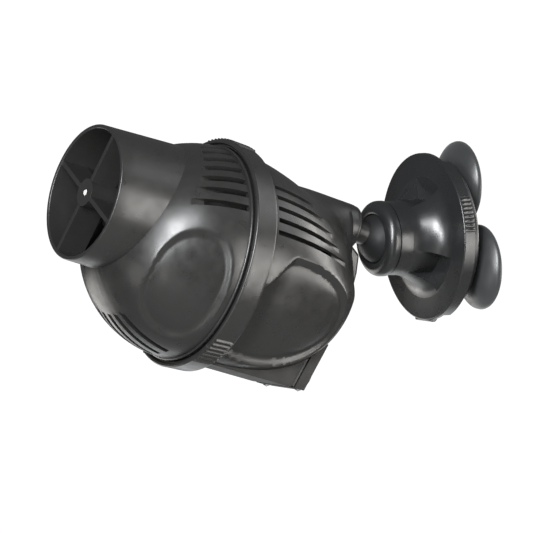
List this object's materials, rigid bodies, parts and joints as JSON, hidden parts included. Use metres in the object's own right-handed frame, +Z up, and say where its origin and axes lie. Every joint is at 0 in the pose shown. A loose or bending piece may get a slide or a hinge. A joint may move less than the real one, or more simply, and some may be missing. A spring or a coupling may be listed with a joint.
{
  "type": "wave maker pump",
  "caption": "Aquarium wave maker: propeller pump in a slotted round housing with an outlet tube, on a ball joint held to the glass by suction cups.",
  "frame": {"origin": "centre of the three suction-cup lips, on the glass", "axes": "+X out through the glass (the way the cups face), +Z up, the pump reaching towards -X with its nose raised 16.3 degrees"},
  "size_m": [0.1498, 0.078, 0.0913],
  "materials": {
    "pump_plastic": "satin black, moulded",
    "mount_plastic": "glossy black, moulded",
    "cup_rubber": "semi-gloss dark rubber",
    "seal_rubber": "matt black rubber",
    "liner_plastic": "grey acetal",
    "stainless_steel": "machined",
    "core_iron": "laminated steel sheet",
    "bobbin_nylon": "natural nylon",
    "copper_wire": "enamelled copper wire",
    "magnet_ferrite": "ground ferrite",
    "impeller_plastic": "moulded black",
    "shaft_ceramic": "polished white"
  },
  "bodies": {
    "glass_base": {"mount_base": "mount_plastic", "suction_cup_top": "cup_rubber", "suction_cup_left": "cup_rubber", "suction_cup_right": "cup_rubber", "mount_pivot_screw": "stainless_steel"},
    "shell": {"mount_shell": "mount_plastic"},
    "collar": {"socket_collar": "mount_plastic"},
    "seat": {"ball_seat": "liner_plastic"},
    "swivel": {"ball": "mount_plastic"},
    "pump": {"rear_cover": "pump_plastic", "motor_housing": "pump_plastic", "motor_end_cap": "pump_plastic", "end_cap_seal": "seal_rubber", "end_cap_screw_1": "stainless_steel", "end_cap_screw_2": "stainless_steel", "end_cap_screw_3": "stainless_steel", "end_cap_screw_4": "stainless_steel", "cable_gland": "seal_rubber", "stator_core": "core_iron", "coil_bobbin_left": "bobbin_nylon", "coil_bobbin_right": "bobbin_nylon", "coil_winding_left": "copper_wire", "coil_winding_right": "copper_wire", "rotor_shaft": "shaft_ceramic", "rear_bushing": "seal_rubber", "rear_thrust_washer": "shaft_ceramic", "front_thrust_washer": "shaft_ceramic"},
    "rotor": {"rotor_magnet": "magnet_ferrite", "rotor_sleeve": "impeller_plastic", "propeller": "impeller_plastic"},
    "front": {"front_cover": "pump_plastic", "outlet_nozzle": "pump_plastic", "front_bushing": "seal_rubber"},
    "ring": {"lock_ring": "pump_plastic"}
  },
  "joints": [
    {"name": "shell_turn", "type": "hinge", "parent": "glass_base", "child": "shell", "pos_m": [-0.012, 0, 0], "axis": [1, 0, 0], "range_deg": [-15, 0]},
    {"name": "collar_screw", "type": "hinge", "parent": "shell", "child": "collar", "pos_m": [-0.0306, 0, 0], "axis": [1, 0, 0], "range_deg": [0, 90]},
    {"name": "ball_roll", "type": "hinge", "parent": "shell", "child": "seat", "pos_m": [-0.0292, 0, 0], "axis": [1, 0, 0], "range_deg": [-180, 180]},
    {"name": "ball_yaw", "type": "hinge", "parent": "seat", "child": "swivel", "pos_m": [-0.0292, 0, 0], "axis": [0, 0, 1], "range_deg": [-22, 22]},
    {"name": "ball_pitch", "type": "hinge", "parent": "swivel", "child": "pump", "pos_m": [-0.0292, 0, 0], "axis": [0, 1, 0], "range_deg": [-38, 6]},
    {"name": "rotor_spin", "type": "hinge", "parent": "pump", "child": "rotor", "pos_m": [-0.11865, 0, 0.01244], "axis": [-0.9598, 0, 0.2807], "continuous": true},
    {"name": "front_pull", "type": "slide", "parent": "pump", "child": "front", "axis": [-0.9598, 0, 0.2807], "range_m": [0, 0.055]},
    {"name": "ring_turn", "type": "hinge", "parent": "front", "child": "ring", "pos_m": [-0.10206, 0, -0.0021], "axis": [-0.9598, 0, 0.2807], "range_deg": [0, 20]}
  ]
}
